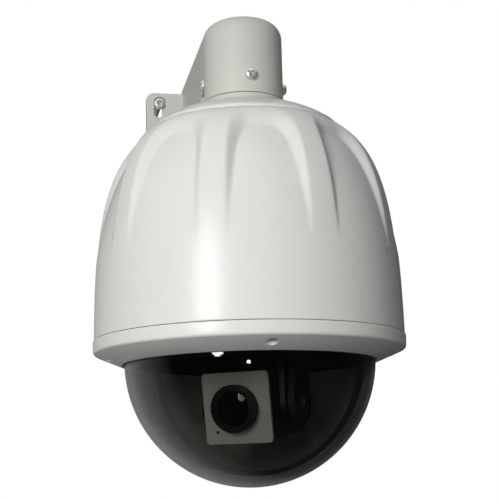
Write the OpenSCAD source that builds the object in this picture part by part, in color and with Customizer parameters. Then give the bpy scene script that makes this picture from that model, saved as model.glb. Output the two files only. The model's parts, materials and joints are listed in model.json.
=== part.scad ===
// Outdoor pan-tilt-zoom dome camera on a cast wall bracket.
// Origin: centre of the wall plate's back face. The wall is the plane y = 0,
// the camera hangs out towards -Y, +Z is up.

/* [Wall bracket] */
// Distance from the wall plate's front face to the camera's vertical axis
reach = 120; // [118:1:170]
// Width of the wall plate
plate_w = 120; // [110:1:160]
// Height of the wall plate
plate_h = 140; // [130:1:180]
// Thickness of the wall plate
plate_t = 8; // [7:0.5:12]
// Corner radius of the wall plate
plate_corner = 6; // [2:0.5:12]
// Distance of the slot centres from the plate's sides
slot_edge_x = 11; // [10:0.5:16]
// Distance of the slot centres from the plate's top and bottom
slot_edge_z = 13; // [12:0.5:18]
// Length of the oblong recess around a wall bolt
slot_len = 19; // [17:0.5:22]
// Width of the oblong recess around a wall bolt
slot_w = 10; // [9.5:0.5:12]
// Depth of the oblong recess
slot_depth = 4; // [3:0.5:5]
// Outer radius of the collar that takes the neck
collar_r = 29.5; // [28.5:0.5:33]
// Height of the collar and arm, from the collar's lower edge to the top
collar_h = 61.2; // [56:0.2:80]
// Radius of the round over the top of the collar and arm
crown_fillet = 12; // [6:0.5:14]
// Depth of the arm where it leaves the collar
arm_h = 61; // [50:1:61]
// How far the arm's underside drops towards the wall
gusset_drop = 41; // [20:1:55]
// Wall thickness of the bracket casting
bracket_wall = 3.5; // [3:0.25:3.5]
// Width of the relief slits in the arm beside the collar
relief_w = 3; // [2:0.5:4]
// Height of the relief slits
relief_h = 11; // [6:1:16]

/* [Bolts and screws] */
// Shank radius of the wall bolts
wall_bolt_r = 2.5; // [2:0.1:2.6]
// Head radius of the wall bolts
wall_bolt_head_r = 4.25; // [4:0.05:4.5]
// Length of wall bolt that stands out of the plate's back
wall_bolt_out = 30; // [15:1:60]
// Shank radius of the collar screws
collar_screw_r = 2.4; // [2:0.1:3]
// Head radius of the collar screws
collar_head_r = 4.3; // [3.8:0.1:5.5]
// Height of the collar screws above the collar's lower edge
collar_screw_z = 12.6; // [10:0.2:18]
// Radial clearance of every screw in its hole
screw_gap = 0.1; // [0.05:0.05:0.2]

/* [Housing] */
// Largest radius of the bell housing
bell_r = 110.3; // [109:0.1:118]
// Height of the bell's outline from its widest level
bell_h = 206; // [200:1:225]
// Squareness of the bell's outline
bell_power = 3.9; // [3.6:0.1:4.2]
// Wall thickness of the bell
bell_wall = 3.5; // [3:0.1:3.7]
// Radius of the raised disc on the bell's shoulder
disc_r = 69.5; // [64:0.5:71]
// Number of scooped petals around the bell
petals = 9; // [6:1:10]
// Angle that one petal spans
petal_angle = 30.6; // [20:0.1:32]
// Depth of a petal near the shoulder
petal_depth = 8; // [3:0.5:8.5]
// Turn of the housing on its neck, from the bracket's front
housing_clock = -3; // [-10:1:10]
// Height of the band of the trim ring
band_h = 8.9; // [8:0.1:12]
// How far the trim ring stands out past the bell
band_proud = 0.7; // [0.3:0.1:2]

/* [Dome] */
// Outer radius of the dome bubble
dome_r = 89; // [86:0.5:89]
// Thickness of the dome bubble
dome_wall = 2.5; // [1.5:0.1:3]
// Width of the dome's flange
flange_w = 6.5; // [5:0.5:6.5]
// Gap between the dome and the trim ring's lip
lip_gap = 0.6; // [0.3:0.1:1]

/* [Pan and tilt] */
// Direction that the camera faces at rest, from the bracket's front
pan_rest = -35; // [-180:1:180]
// Angle that the camera looks down at rest
tilt_rest = 9; // [0:1:60]
// Height of the tilt axis under the dome's centre
tilt_drop = 31; // [29:0.5:32]
// Radius of the rotating platter
platter_r = 82; // [79:0.5:83]
// Outer radius of the dark liner behind the camera
liner_r = 81; // [79:0.5:81.5]
// Wall thickness of the liner
liner_wall = 1.5; // [1:0.1:2]
// How far the liner's rim lies behind the pan axis
rim_back = 10; // [3:0.5:14]
// Radius of the large pan pulley
pan_pulley_r = 40; // [30:1:42]
// Radius of the pan motor's pulley
pan_pinion_r = 8; // [6:0.5:9]
// Distance from the pan axis to the pan motor's shaft
pan_motor_x = 53; // [53:0.5:60]
// Radius of the tilt pulley
tilt_pulley_r = 14; // [10:1:15]
// Radius of the tilt motor's pulley
tilt_pinion_r = 6; // [5:0.5:7]
// Running clearance of each shaft in its bearing
shaft_gap = 0.05; // [0.02:0.01:0.09]
// Thickness of the drive belts
belt_t = 1.2; // [0.8:0.1:1.6]

/* [Camera module] */
// Width of the camera case
case_w = 48; // [44:1:48]
// Height of the camera case
case_h = 47; // [44:1:49]
// Length of the camera case behind the front plate
case_len = 70; // [60:1:72]
// Distance of the front plate ahead of the tilt axis
case_front = 24.5; // [22:0.5:27]
// Radius of the lens barrel
lens_r = 16; // [13:0.5:17]
// How far the lens stands out of the front plate
lens_out = 8; // [5:0.5:10]

/* [Hidden] */

little = 0.01;          // overlap that keeps cuts from sharing a face
through = 200;          // longer than anything that is cut through

// Heights in this block are measured from the dome's centre.
collar_z = 190.8;                        // collar's lower edge
plate_top_z = 239;                       // wall plate's top edge
dome_z = plate_h / 2 - plate_top_z;      // the dome's centre in the part's frame
axis_y = -(reach + plate_t);             // the camera's vertical axis
top_z = collar_z + collar_h;

// Wall bracket
bore_r = collar_r - bracket_wall;
slot_x = plate_w / 2 - slot_edge_x;
slot_z = plate_h / 2 - slot_edge_z;
through_slot_w = 2 * wall_bolt_r + 0.5;
through_slot_len = slot_len - (slot_w - through_slot_w);
bolt_rise = (through_slot_len - through_slot_w) / 2;
bolt_shoulder = 0.15;                    // how much thicker the bolts are inside the plate
wall_head_h = 4;
wall_socket_r = 2.2;
arm_start = 12;                          // where the arm's box begins behind the axis
arm_level = 64;                          // length of the level part of the arm's underside
cable_w = 30;                            // width of the cable window in the wall plate
cable_low = 8;                           // the window's lower edge above the plate's centre
cable_h = 36;

// Bell housing
bell_mid_z = -30;
bell_low_z = 15.6;
disc_low_z = 166;
disc_edge_h = 3;
crown_z = 184.5;
crown_t = 6.5;
cap_flange_t = 6;
cap_seat_r = disc_r - 17.5;
cap_screw_at = disc_r - 11.5;
cap_screw_r = 2;
neck_bore_r = 20;
petal_low_z = 75;
petal_deep_z = 148;
petal_top_z = 162;
cavity_h = bell_h - 16;
bell_steps = 9;
bowl_steps = 24;

// Trim ring and dome
ring_top_z = 14;
gasket_t = bell_low_z - ring_top_z;
ring_r = bell_r + band_proud;
band_low_z = ring_top_z - band_h;
lip_z = -3;
seat_z = 4;
seat_r = dome_r + flange_w + 1.1;
lip_r = dome_r + lip_gap;
flange_t = 3;
ring_screw_at = seat_r + 4.9;
ring_screw_r = 2;
ring_head_r = 3.8;
ring_head_z = 6.5;
retainer_t = 3;
retainer_screw_at = dome_r + flange_w - 2.5;
retainer_screw_r = 1.25;

// Neck
seal_t = 1.5;
neck_low_z = crown_z + seal_t;
neck_flange_h = collar_z - 0.6 - neck_low_z;
neck_flange_r = collar_r + 1;
neck_r = bore_r - 0.2;
neck_top_z = collar_z + 46;
neck_screw_at = (neck_r + neck_bore_r) / 2;
neck_screw_r = 1.5;

// Chassis
base_z = 46;
base_t = 2.5;
base_top = base_z + base_t;
base_r = 101;
base_boss_at = 96;
base_boss_r = 8;
base_screw_r = 2;
bearing_r = 14;
bearing_h = 7;
shaft_r = 8;
shaft_bore_r = 5;
slip_r = 11;
slip_h = 30;
slip_z = base_top + 8;

// Pan drive
platter_z = 27;
platter_t = 3;
platter_top = platter_z + platter_t;
pulley_z = platter_top + 5;
shield_drop = 4;                         // how far the shield ring reaches below the dome's centre
pulley_h = 7;
belt_gap = 0.25;
motor_w = 42;
motor_h = 34;
motor_shaft_r = 2.5;

// Yoke and tilt drive, in the turned frame: the camera faces -Y at rest
yoke_gap = 4;
yoke_t = 4;
yoke_in = case_w / 2 + yoke_gap;
yoke_out = yoke_in + yoke_t;
yoke_w = 28;
yoke_foot = 8;                           // width of the foot that is screwed to the platter
tilt_bearing_r = 8;
trunnion_r = 4;
belt_w = 5;
belt_x = yoke_out + 2.5;
tilt_motor_z = 6;
bracket_x = belt_x + belt_w + 1.5;
tilt_motor_w = 28;
tilt_motor_len = 22;

// Camera module
skin = 2;
cover_t = 2;
chamfer = 10;
plate_thick = 2.5;
glass_t = 1.5;
barrel_wall = 2;
barrel_back = 26;
case_back = case_len - case_front + plate_thick;

// Shared shapes --------------------------------------------------------------

module at_head() translate([0, axis_y, dome_z]) children();
module at_housing() at_head() rotate([0, 0, housing_clock]) children();
module at_pan() at_head() rotate([0, 0, pan_rest]) children();
module at_tilt() at_pan() translate([0, 0, -tilt_drop]) rotate([tilt_rest, 0, 0]) children();

module around(count, radius, start = 0)
    for (i = [0 : count - 1])
        rotate([0, 0, start + i * 360 / count]) translate([0, -radius, 0]) children();

module ring(r_out, r_in, h)
    rotate_extrude($fn = 90) translate([r_in, 0]) square([r_out - r_in, h]);

module rounded_rect(w, h, r) {
    square([w - 2 * r, h], center = true);
    square([w, h - 2 * r], center = true);
    for (x = [-1, 1], y = [-1, 1])
        translate([x * (w / 2 - r), y * (h / 2 - r)]) circle(r, $fn = 32);
}

module oblong(w, len) {
    square([w, len - w], center = true);
    for (y = [-1, 1]) translate([0, y * (len - w) / 2]) circle(w / 2, $fn = 32);
}

// Screw along +Z whose head's underside is at the origin and whose shank goes up
module pan_screw(shank_r, shank_len, head_r, head_h) {
    cylinder(r = shank_r, h = shank_len, $fn = 24);
    difference() {
        translate([0, 0, -head_h * 0.45]) {
            cylinder(r = head_r, h = head_h * 0.45, $fn = 32);
            intersection() {
                translate([0, 0, head_r * 0.6]) sphere(r = head_r * 1.166, $fn = 48);
                translate([0, 0, -head_h * 0.55]) cylinder(r = head_r, h = head_h * 0.55 + little, $fn = 32);
            }
        }
        for (a = [0, 90])
            rotate([0, 0, a]) translate([-head_r * 0.55, -head_r * 0.12, -head_h - little])
                cube([head_r * 1.1, head_r * 0.24, head_h * 0.5]);
    }
}

// Outline of two pulleys and the straight runs between them, grown by some amount
module belt_outline(r1, r2, distance, grow) {
    a = r1 + grow;
    b = r2 + grow;
    lean = acos((a - b) / distance);
    circle(a, $fn = 90);
    translate([distance, 0]) circle(b, $fn = 48);
    polygon([
        [a * cos(lean), a * sin(lean)], [distance + b * cos(lean), b * sin(lean)],
        [distance + b * cos(lean), -b * sin(lean)], [a * cos(lean), -a * sin(lean)]
    ]);
}

module belt(r1, r2, distance, width)
    linear_extrude(width) difference() {
        belt_outline(r1, r2, distance, belt_gap + belt_t);
        belt_outline(r1, r2, distance, belt_gap);
    }

// Wall bracket ---------------------------------------------------------------

module arm_side(inset) {
    under = top_z - arm_h;
    polygon([
        [axis_y + arm_start, under + inset], [axis_y + arm_level, under + inset],
        [-plate_t + little, under - gusset_drop + inset], [-plate_t + little, top_z - inset],
        [axis_y + arm_start, top_z - inset]
    ]);
}

module arm_section(inset) {
    r = max(crown_fillet - inset, 1);
    w = 2 * (collar_r - inset);
    translate([-w / 2, -through]) square([w, top_z - inset - r + through]);
    translate([-w / 2 + r, -through]) square([w - 2 * r, top_z - inset + through]);
    for (x = [-1, 1]) translate([x * (w / 2 - r), top_z - inset - r]) circle(r, $fn = 48);
}

module arm(inset, back) intersection() {
    translate([-through / 2, 0, 0]) rotate([90, 0, 90]) linear_extrude(through) arm_side(inset);
    translate([0, back, 0]) rotate([90, 0, 0]) linear_extrude(through) arm_section(inset);
}

module collar_solid(r, low, high, fillet)
    rotate_extrude($fn = 90) {
        translate([0, low]) square([r, high - low - fillet]);
        translate([0, low]) square([r - fillet, high - low]);
        translate([r - fillet, high - fillet]) intersection() {
            circle(fillet, $fn = 48);
            square(fillet);
        }
    }

module slot_places()
    for (x = [-1, 1], z = [-1, 1]) translate([x * slot_x, 0, z * slot_z]) children();

module wall_bracket() color("gainsboro") difference() {
    union() {
        rotate([90, 0, 0]) linear_extrude(plate_t) {
            rounded_rect(plate_w, plate_h, plate_corner);
            intersection() {
                translate([0, dome_z]) arm_section(0);
                translate([-through / 2, 0]) square(through);
            }
        }
        translate([0, 0, dome_z]) {
            arm(0, 0);
            translate([0, axis_y, 0]) collar_solid(collar_r, collar_z, top_z, crown_fillet);
        }
    }
    translate([0, 0, dome_z]) {
        translate([0, axis_y, 0]) collar_solid(bore_r, collar_z - 1, top_z - bracket_wall, crown_fillet - 2);
        arm(bracket_wall, -plate_t);
        for (side = [-1, 1])
            translate([side * collar_r - relief_w, axis_y + 24, collar_z - little])
                cube([2 * relief_w, relief_w, relief_h]);
    }
    translate([-cable_w / 2, -plate_t - 1, cable_low]) cube([cable_w, plate_t + 2, cable_h]);
    slot_places() {
        translate([0, -plate_t - little, 0]) rotate([-90, 0, 0]) linear_extrude(slot_depth) oblong(slot_w, slot_len);
        translate([0, 1, 0]) rotate([90, 0, 0]) linear_extrude(plate_t + 2) oblong(through_slot_w, through_slot_len);
    }
    translate([0, axis_y, dome_z + collar_z + collar_screw_z]) for (a = [-90, 0, 90])
        rotate([0, 0, a]) rotate([90, 0, 0]) cylinder(r = collar_screw_r + screw_gap, h = collar_r + 1, $fn = 24);
}

module wall_bolts() color("silver") slot_places()
    translate([0, -plate_t + slot_depth, bolt_rise]) {
        rotate([-90, 0, 0]) cylinder(r = wall_bolt_r, h = plate_t - slot_depth + wall_bolt_out, $fn = 32);
        rotate([-90, 0, 0]) cylinder(r = wall_bolt_r + bolt_shoulder, h = plate_t - slot_depth, $fn = 32);
        difference() {
            rotate([90, 0, 0]) cylinder(r = wall_bolt_head_r, h = wall_head_h, $fn = 32);
            translate([0, -wall_head_h / 2, 0]) rotate([90, 0, 0])
                cylinder(r = wall_socket_r, h = wall_head_h, $fn = 6);
        }
    }

module collar_screws() color("silver") at_head()
    translate([0, 0, collar_z + collar_screw_z]) for (a = [-90, 0, 90])
        rotate([0, 0, a]) translate([0, -collar_r, 0]) rotate([-90, 0, 0])
            pan_screw(collar_screw_r, collar_r - neck_bore_r - 1, collar_head_r, 3.6);

// Neck -----------------------------------------------------------------------

module neck_spigot() color("gainsboro") at_head() difference() {
    union() {
        translate([0, 0, neck_low_z]) cylinder(r = neck_flange_r, h = neck_flange_h, $fn = 90);
        translate([0, 0, neck_low_z]) cylinder(r = neck_r, h = neck_top_z - neck_low_z, $fn = 90);
    }
    translate([0, 0, neck_low_z - 1]) cylinder(r = neck_bore_r, h = through, $fn = 90);
    translate([0, 0, collar_z + collar_screw_z]) for (a = [-90, 0, 90])
        rotate([0, 0, a]) rotate([90, 0, 0]) cylinder(r = collar_screw_r + screw_gap, h = neck_r + 1, $fn = 24);
    around(4, neck_screw_at, 45) translate([0, 0, neck_low_z - 1])
        cylinder(r = neck_screw_r + screw_gap, h = 11, $fn = 24);
}

module neck_seal() color("dimgray") at_head() difference() {
    translate([0, 0, crown_z]) ring(neck_flange_r - 1, neck_bore_r, seal_t);
    around(4, neck_screw_at, 45) translate([0, 0, crown_z - 1]) cylinder(r = neck_screw_r + screw_gap, h = 4, $fn = 24);
}

module neck_screws() color("silver") at_head() around(4, neck_screw_at, 45)
    translate([0, 0, crown_z - crown_t]) pan_screw(neck_screw_r, crown_t + seal_t + 9, 2.8, 2.2);

module cable_gland() color("dimgray") at_head() translate([0, 0, crown_z - crown_t]) difference() {
    union() {
        cylinder(r = neck_bore_r - 0.3, h = crown_t, $fn = 64);
        translate([0, 0, -3]) cylinder(r = 10, h = 3 + crown_t + 6, $fn = 48);
    }
    translate([0, 0, -4]) cylinder(r = 6, h = through, $fn = 32);
}

// Housing --------------------------------------------------------------------

function bell_radius(z, r, h) = r * pow(1 - pow((z - bell_mid_z) / h, bell_power), 1 / bell_power);
function bell_points(r, h, low, high) =
    [for (i = [0 : bell_steps]) let (z = low + (high - low) * pow(i / bell_steps, 0.7)) [bell_radius(z, r, h), z]];

module bell_outline() polygon(concat(
    [[0, bell_low_z]], bell_points(bell_r, bell_h, bell_low_z, disc_low_z), [[0, disc_low_z]]
));

module cavity_outline() polygon(concat(
    [[0, bell_low_z - 1], [bell_radius(bell_low_z, bell_r - bell_wall, cavity_h), bell_low_z - 1]],
    bell_points(bell_r - bell_wall, cavity_h, bell_low_z, 150),
    [[disc_r - 5.5, disc_low_z - cap_flange_t], [cap_seat_r, disc_low_z - cap_flange_t],
     [cap_seat_r, disc_low_z + 1], [0, disc_low_z + 1]]
));

function petal_floor(z) = bell_radius(z, bell_r, bell_h)
    - petal_depth * pow((z - petal_low_z) / (petal_deep_z - petal_low_z), 1.2);
module petal_outline() polygon(concat(
    [for (i = [0 : 4]) let (z = petal_low_z + i * (petal_deep_z - petal_low_z) / 4) [petal_floor(z), z]],
    [[bell_radius(petal_top_z, bell_r, bell_h) + little, petal_top_z], [bell_r, petal_top_z], [bell_r, petal_low_z]]
));

module upper_housing() color("whitesmoke") at_housing() {
    difference() {
        rotate_extrude($fn = 120) bell_outline();
        rotate_extrude($fn = 120) cavity_outline();
        for (i = [0 : petals - 1])
            rotate([0, 0, i * 360 / petals - 90 - petal_angle / 2])
                rotate_extrude(angle = petal_angle, $fn = 120) petal_outline();
        around(6, cap_screw_at) translate([0, 0, disc_low_z - cap_flange_t - 1])
            cylinder(r = cap_screw_r + screw_gap, h = cap_flange_t + 2, $fn = 24);
    }
    bosses(ring_screw_at, 5.7, bell_low_z, 24, ring_screw_r, 0);
    bosses(base_boss_at, base_boss_r, base_top, 14, base_screw_r, 45);
}

// Screw bosses that run into the bell's wall
module bosses(at, r, z, h, hole_r, start) intersection() {
    around(4, at, start) translate([0, 0, z]) difference() {
        union() {
            cylinder(r = r, h = h, $fn = 32);
            translate([-r, -15, 0]) cube([2 * r, 15, h]);
        }
        translate([0, 0, -1]) cylinder(r = hole_r + screw_gap, h = h - 3, $fn = 24);
    }
    cylinder(r = bell_r - bell_wall, h = z + h, $fn = 120);
}

module crown_cap() color("whitesmoke") at_housing() difference() {
    rotate_extrude($fn = 120) polygon([
        [cap_seat_r, disc_low_z], [disc_r, disc_low_z], [disc_r, disc_low_z + disc_edge_h], [56, 177], [43, 182],
        [neck_flange_r, crown_z], [neck_bore_r, crown_z], [neck_bore_r, crown_z - crown_t],
        [30, crown_z - crown_t], [45, crown_z - crown_t - 6]
    ]);
    rotate([0, 0, -housing_clock]) around(4, neck_screw_at, 45)
        translate([0, 0, crown_z - crown_t - 1]) cylinder(r = neck_screw_r + screw_gap, h = 20, $fn = 24);
    around(6, cap_screw_at) translate([0, 0, disc_low_z - 1]) cylinder(r = cap_screw_r + screw_gap, h = 6.5, $fn = 24);
}

module cap_screws() color("silver") at_housing() around(6, cap_screw_at)
    translate([0, 0, disc_low_z - cap_flange_t]) pan_screw(cap_screw_r, cap_flange_t + 5, 3.6, 2.6);

module ring_gasket() color("dimgray") at_housing() translate([0, 0, ring_top_z]) difference() {
    ring(bell_r - 1, seat_r + 0.5, gasket_t);
    around(4, ring_screw_at) translate([0, 0, -1]) cylinder(r = ring_screw_r + screw_gap, h = 5, $fn = 24);
}

module trim_ring() color("whitesmoke") at_housing() difference() {
    rotate_extrude($fn = 120) polygon([
        [lip_r, lip_z + 1], [lip_r + 1, lip_z], [lip_r + 3, lip_z], [ring_r - 3, band_low_z - 1.2],
        [ring_r - 0.9, band_low_z - 0.1], [ring_r - 0.2, band_low_z + 0.9], [ring_r, ring_top_z - 0.6],
        [ring_r - 0.6, ring_top_z], [seat_r, ring_top_z], [seat_r, seat_z], [lip_r, seat_z]
    ]);
    around(4, ring_screw_at) {
        translate([0, 0, lip_z]) cylinder(r = ring_head_r + 0.4, h = ring_head_z - lip_z, $fn = 32);
        cylinder(r = ring_screw_r + screw_gap, h = 20, $fn = 24);
    }
    around(8, retainer_screw_at, 22.5) translate([0, 0, seat_z - 4]) cylinder(r = retainer_screw_r + screw_gap, h = 5, $fn = 24);
}

module ring_screws() color("silver") at_housing() around(4, ring_screw_at)
    translate([0, 0, ring_head_z]) pan_screw(ring_screw_r, 26, ring_head_r, 2.8);

// Dome -----------------------------------------------------------------------

// Points down a bowl from a depth below its equator to a small flat at its pole
function bowl_points(r, low = 0) = concat(
    [for (i = [0 : bowl_steps]) let (a = asin(low / r) + (88 - asin(low / r)) * i / bowl_steps)
        [r * cos(a), -r * sin(a)]],
    [[0, -r * sin(88)]]
);
function reversed(list) = [for (i = [len(list) - 1 : -1 : 0]) list[i]];

module dome_bubble() color("dimgray", 0.6) at_housing() difference() {
    rotate_extrude($fn = 120) polygon(concat(
        [[dome_r - dome_wall, seat_z + flange_t], [dome_r + flange_w, seat_z + flange_t],
         [dome_r + flange_w, seat_z], [dome_r, seat_z]],
        bowl_points(dome_r), reversed(bowl_points(dome_r - dome_wall))
    ));
    around(8, retainer_screw_at, 22.5) cylinder(r = retainer_screw_r + screw_gap, h = 20, $fn = 24);
}

module bubble_retainer() color("dimgray") at_housing() translate([0, 0, seat_z + flange_t]) difference() {
    ring(dome_r + flange_w, dome_r - dome_wall, retainer_t);
    around(8, retainer_screw_at, 22.5) translate([0, 0, -1]) cylinder(r = retainer_screw_r + screw_gap, h = 9, $fn = 24);
}

module retainer_screws() color("silver") at_housing() around(8, retainer_screw_at, 22.5)
    translate([0, 0, seat_z + flange_t + retainer_t]) rotate([180, 0, 0])
        pan_screw(retainer_screw_r, flange_t + retainer_t + 3.5, 2.3, 1.8);

// Chassis --------------------------------------------------------------------

fan_at = [0, -64];
fan_w = 40;
fan_hub_r = 8;
fan_r = 17.5;
fan_h = 10;

module base_plate() color("lightsteelblue") at_housing() translate([0, 0, base_z]) difference() {
    cylinder(r = base_r, h = base_t, $fn = 120);
    translate([0, 0, -1]) cylinder(r = bearing_r - 2, h = 9, $fn = 64);
    translate([pan_motor_x, 0, -1]) cylinder(r = 6, h = 9, $fn = 48);
    translate([fan_at.x, fan_at.y, -1]) cylinder(r = fan_r, h = 9, $fn = 64);
    around(4, base_boss_at, 45) translate([0, 0, -1]) cylinder(r = base_screw_r + screw_gap, h = 9, $fn = 24);
}

module base_screws() color("silver") at_housing() around(4, base_boss_at, 45)
    translate([0, 0, base_z]) pan_screw(base_screw_r, base_t + 8, 3.6, 2.6);

module pan_bearing() color("silver") at_housing() translate([0, 0, base_top])
    ring(bearing_r, shaft_r + shaft_gap, bearing_h);

module pan_motor() color("darkslategray") at_housing() translate([pan_motor_x, 0, base_top]) {
    linear_extrude(motor_h) rounded_rect(motor_w, motor_w, 4);
    translate([0, 0, -base_t]) cylinder(r = 5.5, h = base_t + little, $fn = 48);
}

module pan_belt() color("dimgray") at_housing() translate([0, 0, pulley_z + 1])
    belt(pan_pulley_r, pan_pinion_r, pan_motor_x, pulley_h - 2);

module slip_ring() color("dimgray") at_housing() {
    translate([0, 0, slip_z]) cylinder(r = slip_r, h = slip_h, $fn = 48);
    translate([0, 0, slip_z]) ring(slip_r + 8, slip_r - little, 2);
    for (a = [0, 120, 240]) rotate([0, 0, a + 90]) translate([0, -slip_r - 5.5, base_top])
        cylinder(r = 1.5, h = slip_z - base_top + little, $fn = 24);
}

board_at = [-52, 0];
board = [66, 60, 1.6];
board_z = base_top + 9;
standoff_inset = 5;

module board_corners()
    for (x = [-1, 1], y = [-1, 1])
        translate([board_at.x + x * (board.x / 2 - standoff_inset), y * (board.y / 2 - standoff_inset), 0]) children();

module power_board() color("darkgreen") at_housing()
    translate([board_at.x - board.x / 2, -board.y / 2, board_z]) cube(board);

module board_standoffs() color("goldenrod") at_housing() board_corners()
    translate([0, 0, base_top]) cylinder(r = 2.6, h = board_z - base_top, $fn = 24);

module terminal_block() color("forestgreen") at_housing()
    translate([board_at.x - 24, -26, board_z + board.z]) difference() {
        cube([12, 52, 11]);
        for (i = [0 : 9]) translate([6, 3.5 + i * 5, 5]) cylinder(r = 1.7, h = 9, $fn = 24);
    }

module board_parts() color("dimgray") at_housing() translate([board_at.x, 0, board_z + board.z]) {
    for (y = [-18, -5]) translate([22, y, 0]) cylinder(r = 5, h = 16, $fn = 32);
    translate([-8, 4, 0]) cube([22, 20, 15]);
    translate([-8, -24, 0]) cube([18, 18, 3]);
}

module heater_block() color("silver") at_housing() translate([-20, 50, base_top]) difference() {
    cube([40, 24, 16]);
    for (i = [0 : 5]) translate([3.5 + i * 6, -1, 4]) cube([3, 26, 13]);
}

module fan_frame() color("dimgray") at_housing() translate([fan_at.x, fan_at.y, base_top]) {
    difference() {
        linear_extrude(fan_h) rounded_rect(fan_w, fan_w, 3);
        translate([0, 0, -1]) cylinder(r = fan_r + 0.8, h = fan_h + 2, $fn = 64);
    }
    cylinder(r = fan_hub_r, h = 1.5, $fn = 32);
    for (a = [0, 120, 240]) rotate([0, 0, a]) translate([0, -1.5, 0]) cube([fan_w / 2 - 1, 3, 1.2]);
    cylinder(r = 1.5, h = 8, $fn = 24);
}

module fan_rotor() color("black") at_housing() translate([fan_at.x, fan_at.y, base_top + 2]) difference() {
    union() {
        cylinder(r = fan_hub_r, h = 7, $fn = 32);
        for (i = [0 : 6]) rotate([0, 0, i * 360 / 7]) translate([fan_hub_r - 1, 0, 3.5]) rotate([35, 0, 0])
            translate([0, -3.5, -0.5]) cube([fan_r - fan_hub_r, 7, 1]);
    }
    translate([0, 0, -1]) cylinder(r = 1.5 + shaft_gap, h = 7.5, $fn = 24);
}

// Pan drive ------------------------------------------------------------------

module pan_motor_pulley() color("silver") at_housing() translate([pan_motor_x, 0, 0]) {
    translate([0, 0, pulley_z]) cylinder(r = pan_pinion_r, h = pulley_h, $fn = 48);
    for (z = [0, pulley_h - 0.8])
        translate([0, 0, pulley_z + z]) cylinder(r = pan_pinion_r + 1.4, h = 0.8, $fn = 48);
    translate([0, 0, pulley_z]) cylinder(r = motor_shaft_r, h = base_z - pulley_z - 0.2, $fn = 32);
}

module pan_shaft() color("silver") at_pan() translate([0, 0, platter_top])
    ring(shaft_r, shaft_bore_r, base_top + bearing_h - platter_top);

module pan_pulley() color("gainsboro") at_pan() {
    translate([0, 0, platter_top]) ring(18, shaft_r, pulley_z - platter_top + little);
    translate([0, 0, pulley_z]) ring(pan_pulley_r, shaft_r, pulley_h);
}

module pan_platter() color("darkslategray") at_pan() translate([0, 0, platter_z]) difference() {
    cylinder(r = platter_r, h = platter_t, $fn = 120);
    translate([0, 0, -1]) cylinder(r = shaft_bore_r, h = 9, $fn = 32);
    yoke_screw_places() translate([0, 0, -1]) cylinder(r = 1.5 + screw_gap, h = 9, $fn = 24);
}

module liner() color([0.1, 0.1, 0.1]) at_pan() difference() {
    rotate_extrude($fn = 120)
        polygon(concat(bowl_points(liner_r, shield_drop), reversed(bowl_points(liner_r - liner_wall, shield_drop))));
    translate([-through, rim_back - 2 * through, -through]) cube(2 * through);
}

module shield_ring() color([0.05, 0.05, 0.05]) at_pan() translate([0, 0, -shield_drop])
    ring(liner_r + 0.5, liner_r - 2, platter_z + shield_drop);

module yoke_screw_places()
    for (x = [-1, 1], y = [-1, 1]) translate([x * (yoke_out + yoke_foot / 2), y * 9, 0]) children();

module yoke_arm() difference() {
    union() {
        translate([yoke_in, -yoke_w / 2, -tilt_drop]) cube([yoke_t, yoke_w, platter_z + tilt_drop]);
        translate([yoke_in, 0, -tilt_drop]) rotate([0, 90, 0]) cylinder(r = yoke_w / 2, h = yoke_t, $fn = 48);
        translate([yoke_in, -yoke_w / 2, platter_z - 3]) cube([yoke_t + yoke_foot, yoke_w, 3]);
    }
    translate([yoke_in - 1, 0, -tilt_drop]) rotate([0, 90, 0]) cylinder(r = tilt_bearing_r, h = yoke_t + 2, $fn = 48);
    yoke_screw_places() translate([0, 0, platter_z - 5]) cylinder(r = 1.5 + screw_gap, h = 9, $fn = 24);
}

module yoke_right() color("darkslategray") at_pan() yoke_arm();
module yoke_left() color("darkslategray") at_pan() mirror([1, 0, 0]) yoke_arm();

module yoke_screws() color("silver") at_pan() yoke_screw_places()
    translate([0, 0, platter_z - 3]) pan_screw(1.5, 3 + platter_t, 2.6, 2);

module tilt_bearings() color("silver") at_pan() for (side = [-1, 1])
    translate([side * (yoke_in + yoke_t / 2) - yoke_t / 2, 0, -tilt_drop]) rotate([0, 90, 0])
        ring(tilt_bearing_r, trunnion_r + shaft_gap, yoke_t);

module tilt_motor_bracket() color("silver") at_pan() difference() {
    union() {
        translate([bracket_x, -tilt_motor_w / 2, tilt_motor_z - tilt_motor_w / 2])
            cube([2, tilt_motor_w, platter_z - tilt_motor_z + tilt_motor_w / 2]);
        translate([bracket_x, -tilt_motor_w / 2, platter_z - 2]) cube([16, tilt_motor_w, 2]);
    }
    translate([bracket_x - 1, 0, tilt_motor_z]) rotate([0, 90, 0]) cylinder(r = 5, h = 9, $fn = 32);
}

module tilt_motor() color("darkslategray") at_pan() translate([bracket_x + 2, 0, tilt_motor_z]) rotate([90, 0, 90]) {
    linear_extrude(tilt_motor_len) rounded_rect(tilt_motor_w, tilt_motor_w, 3);
    translate([0, 0, -1.8]) cylinder(r = 4.6, h = 2, $fn = 32);
}

module tilt_belt() color("dimgray") at_pan() translate([belt_x, 0, -tilt_drop])
    rotate([0, -90, 0]) mirror([0, 0, 1])
        belt(tilt_pulley_r, tilt_pinion_r, tilt_motor_z + tilt_drop, belt_w);

module driver_board() color("darkgreen") at_pan() translate([0, 0, platter_z - 4.6]) {
    translate([-25, 38, 0]) cube([50, 26, 1.6]);
    for (x = [-21, 21], y = [41, 61]) translate([x, y, 1.6 - little]) cylinder(r = 2, h = 3 + little, $fn = 24);
    translate([-8, 44, -2]) cube([14, 14, 2 + little]);
}

module tilt_motor_pulley() color("silver") at_pan() translate([belt_x, 0, tilt_motor_z]) rotate([0, 90, 0]) {
    translate([0, 0, -0.6]) cylinder(r = tilt_pinion_r, h = belt_w + 1.2, $fn = 48);
    cylinder(r = 2, h = bracket_x - belt_x + 0.1, $fn = 24);
}

// Camera module --------------------------------------------------------------

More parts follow.
